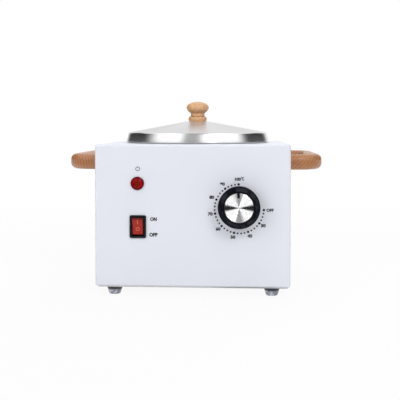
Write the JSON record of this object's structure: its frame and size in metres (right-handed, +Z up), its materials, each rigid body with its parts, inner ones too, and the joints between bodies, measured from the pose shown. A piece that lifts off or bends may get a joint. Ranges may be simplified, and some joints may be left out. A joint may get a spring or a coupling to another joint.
{
  "type": "wax warmer",
  "caption": "Square white sheet-metal wax warmer on rubber feet: round lift-out pot under a conical lid, wooden side handles, temperature dial, rocker switch, red lamp and mains inlet.",
  "frame": {"origin": "on the table, under the middle of the whole object", "axes": "+X to the right of someone facing the dial, +Y from the dial to the mains inlet, +Z up"},
  "size_m": [0.246, 0.2006, 0.1822],
  "materials": {
    "case_paint": "satin powder coat, cool white",
    "plate_zinc": "zinc plated sheet",
    "screw_zinc": "bright zinc plate",
    "foot_rubber": "translucent grey",
    "well_aluminium": "spun, satin",
    "pot_aluminium": "drawn, satin",
    "lid_polished": "spun and polished",
    "handle_beech": "clear varnish",
    "knob_beech": "clear varnish",
    "dial_black": "satin moulding",
    "insert_aluminium": "turned face",
    "shaft_steel": "turned steel",
    "thermostat_moulding": "brown phenolic",
    "tab_brass": "plain",
    "capillary_copper": "drawn copper",
    "fuse_metal": "plated can",
    "switch_black": "gloss moulding",
    "rocker_red": "gloss moulding",
    "lens_red": "clear red moulding",
    "neon_glass": "clear glass",
    "clip_spring_steel": "spring steel",
    "inlet_black": "satin moulding",
    "lead_brown": "silicone insulation",
    "lead_blue": "silicone insulation",
    "lead_white": "silicone insulation",
    "lead_earth": "green and yellow insulation"
  },
  "bodies": {
    "base": {"housing_shell": "case_paint", "base_plate": "plate_zinc", "foot_front_left": "foot_rubber", "foot_front_right": "foot_rubber", "foot_back_left": "foot_rubber", "foot_back_right": "foot_rubber", "foot_screws": "screw_zinc", "foot_nuts": "screw_zinc", "base_screws": "screw_zinc", "heating_well": "well_aluminium", "tie_stud": "screw_zinc", "tie_nut": "screw_zinc", "heater_band": "plate_zinc", "band_bolt": "screw_zinc", "band_nut": "screw_zinc", "band_terminals": "tab_brass", "handle_left": "handle_beech", "handle_right": "handle_beech", "handle_screws": "screw_zinc", "thermostat_body": "thermostat_moulding", "thermostat_bracket": "plate_zinc", "thermostat_screws": "screw_zinc", "thermostat_terminals": "tab_brass", "capillary_tube": "capillary_copper", "sensing_bulb": "capillary_copper", "bulb_clip": "clip_spring_steel", "thermal_fuse": "fuse_metal", "fuse_clip": "clip_spring_steel", "clip_nuts": "screw_zinc", "switch_housing": "switch_black", "switch_terminals": "tab_brass", "lamp_lens": "lens_red", "lamp_bulb": "neon_glass", "lamp_clip": "clip_spring_steel", "inlet_body": "inlet_black", "inlet_pins": "tab_brass", "inlet_screws": "screw_zinc", "inlet_nuts": "screw_zinc", "earth_screw": "screw_zinc", "earth_nut": "screw_zinc", "lead_live": "lead_brown", "lead_switched": "lead_brown", "lead_fuse": "lead_white", "lead_heater": "lead_white", "lead_neutral": "lead_blue", "lead_lamp_live": "lead_brown", "lead_lamp_neutral": "lead_blue", "lead_earth": "lead_earth"},
    "dial": {"dial_knob": "dial_black", "dial_insert": "insert_aluminium", "thermostat_shaft": "shaft_steel"},
    "rocker": {"switch_rocker": "rocker_red", "switch_plunger": "shaft_steel"},
    "blade": {"contact_blade": "tab_brass"},
    "pot": {"wax_pot": "pot_aluminium"},
    "lid": {"lid_shell": "lid_polished", "lid_knob": "knob_beech", "lid_knob_screw": "screw_zinc", "lid_knob_washer": "screw_zinc"}
  },
  "joints": [
    {"name": "dial_turn", "type": "hinge", "parent": "base", "child": "dial", "pos_m": [0.043, -0.08455, 0.0838], "axis": [0, -1, 0], "range_deg": [0, 266]},
    {"name": "rocker_flip", "type": "hinge", "parent": "base", "child": "rocker", "pos_m": [-0.05, -0.08485, 0.0645], "axis": [-1, 0, 0], "range_deg": [0, 22]},
    {"name": "blade_tilt", "type": "hinge", "parent": "base", "child": "blade", "pos_m": [-0.05, -0.07575, 0.0645], "axis": [1, 0, 0], "range_deg": [0, 8]},
    {"name": "pot_lift", "type": "slide", "parent": "base", "child": "pot", "axis": [0, 0, 1], "range_m": [0, 0.08]},
    {"name": "lid_lift", "type": "slide", "parent": "pot", "child": "lid", "axis": [0, 0, 1], "range_m": [0, 0.06]}
  ],
  "couplings": [
    {"joint": "blade_tilt", "follows": "rocker_flip", "ratio": 0.3636}
  ]
}
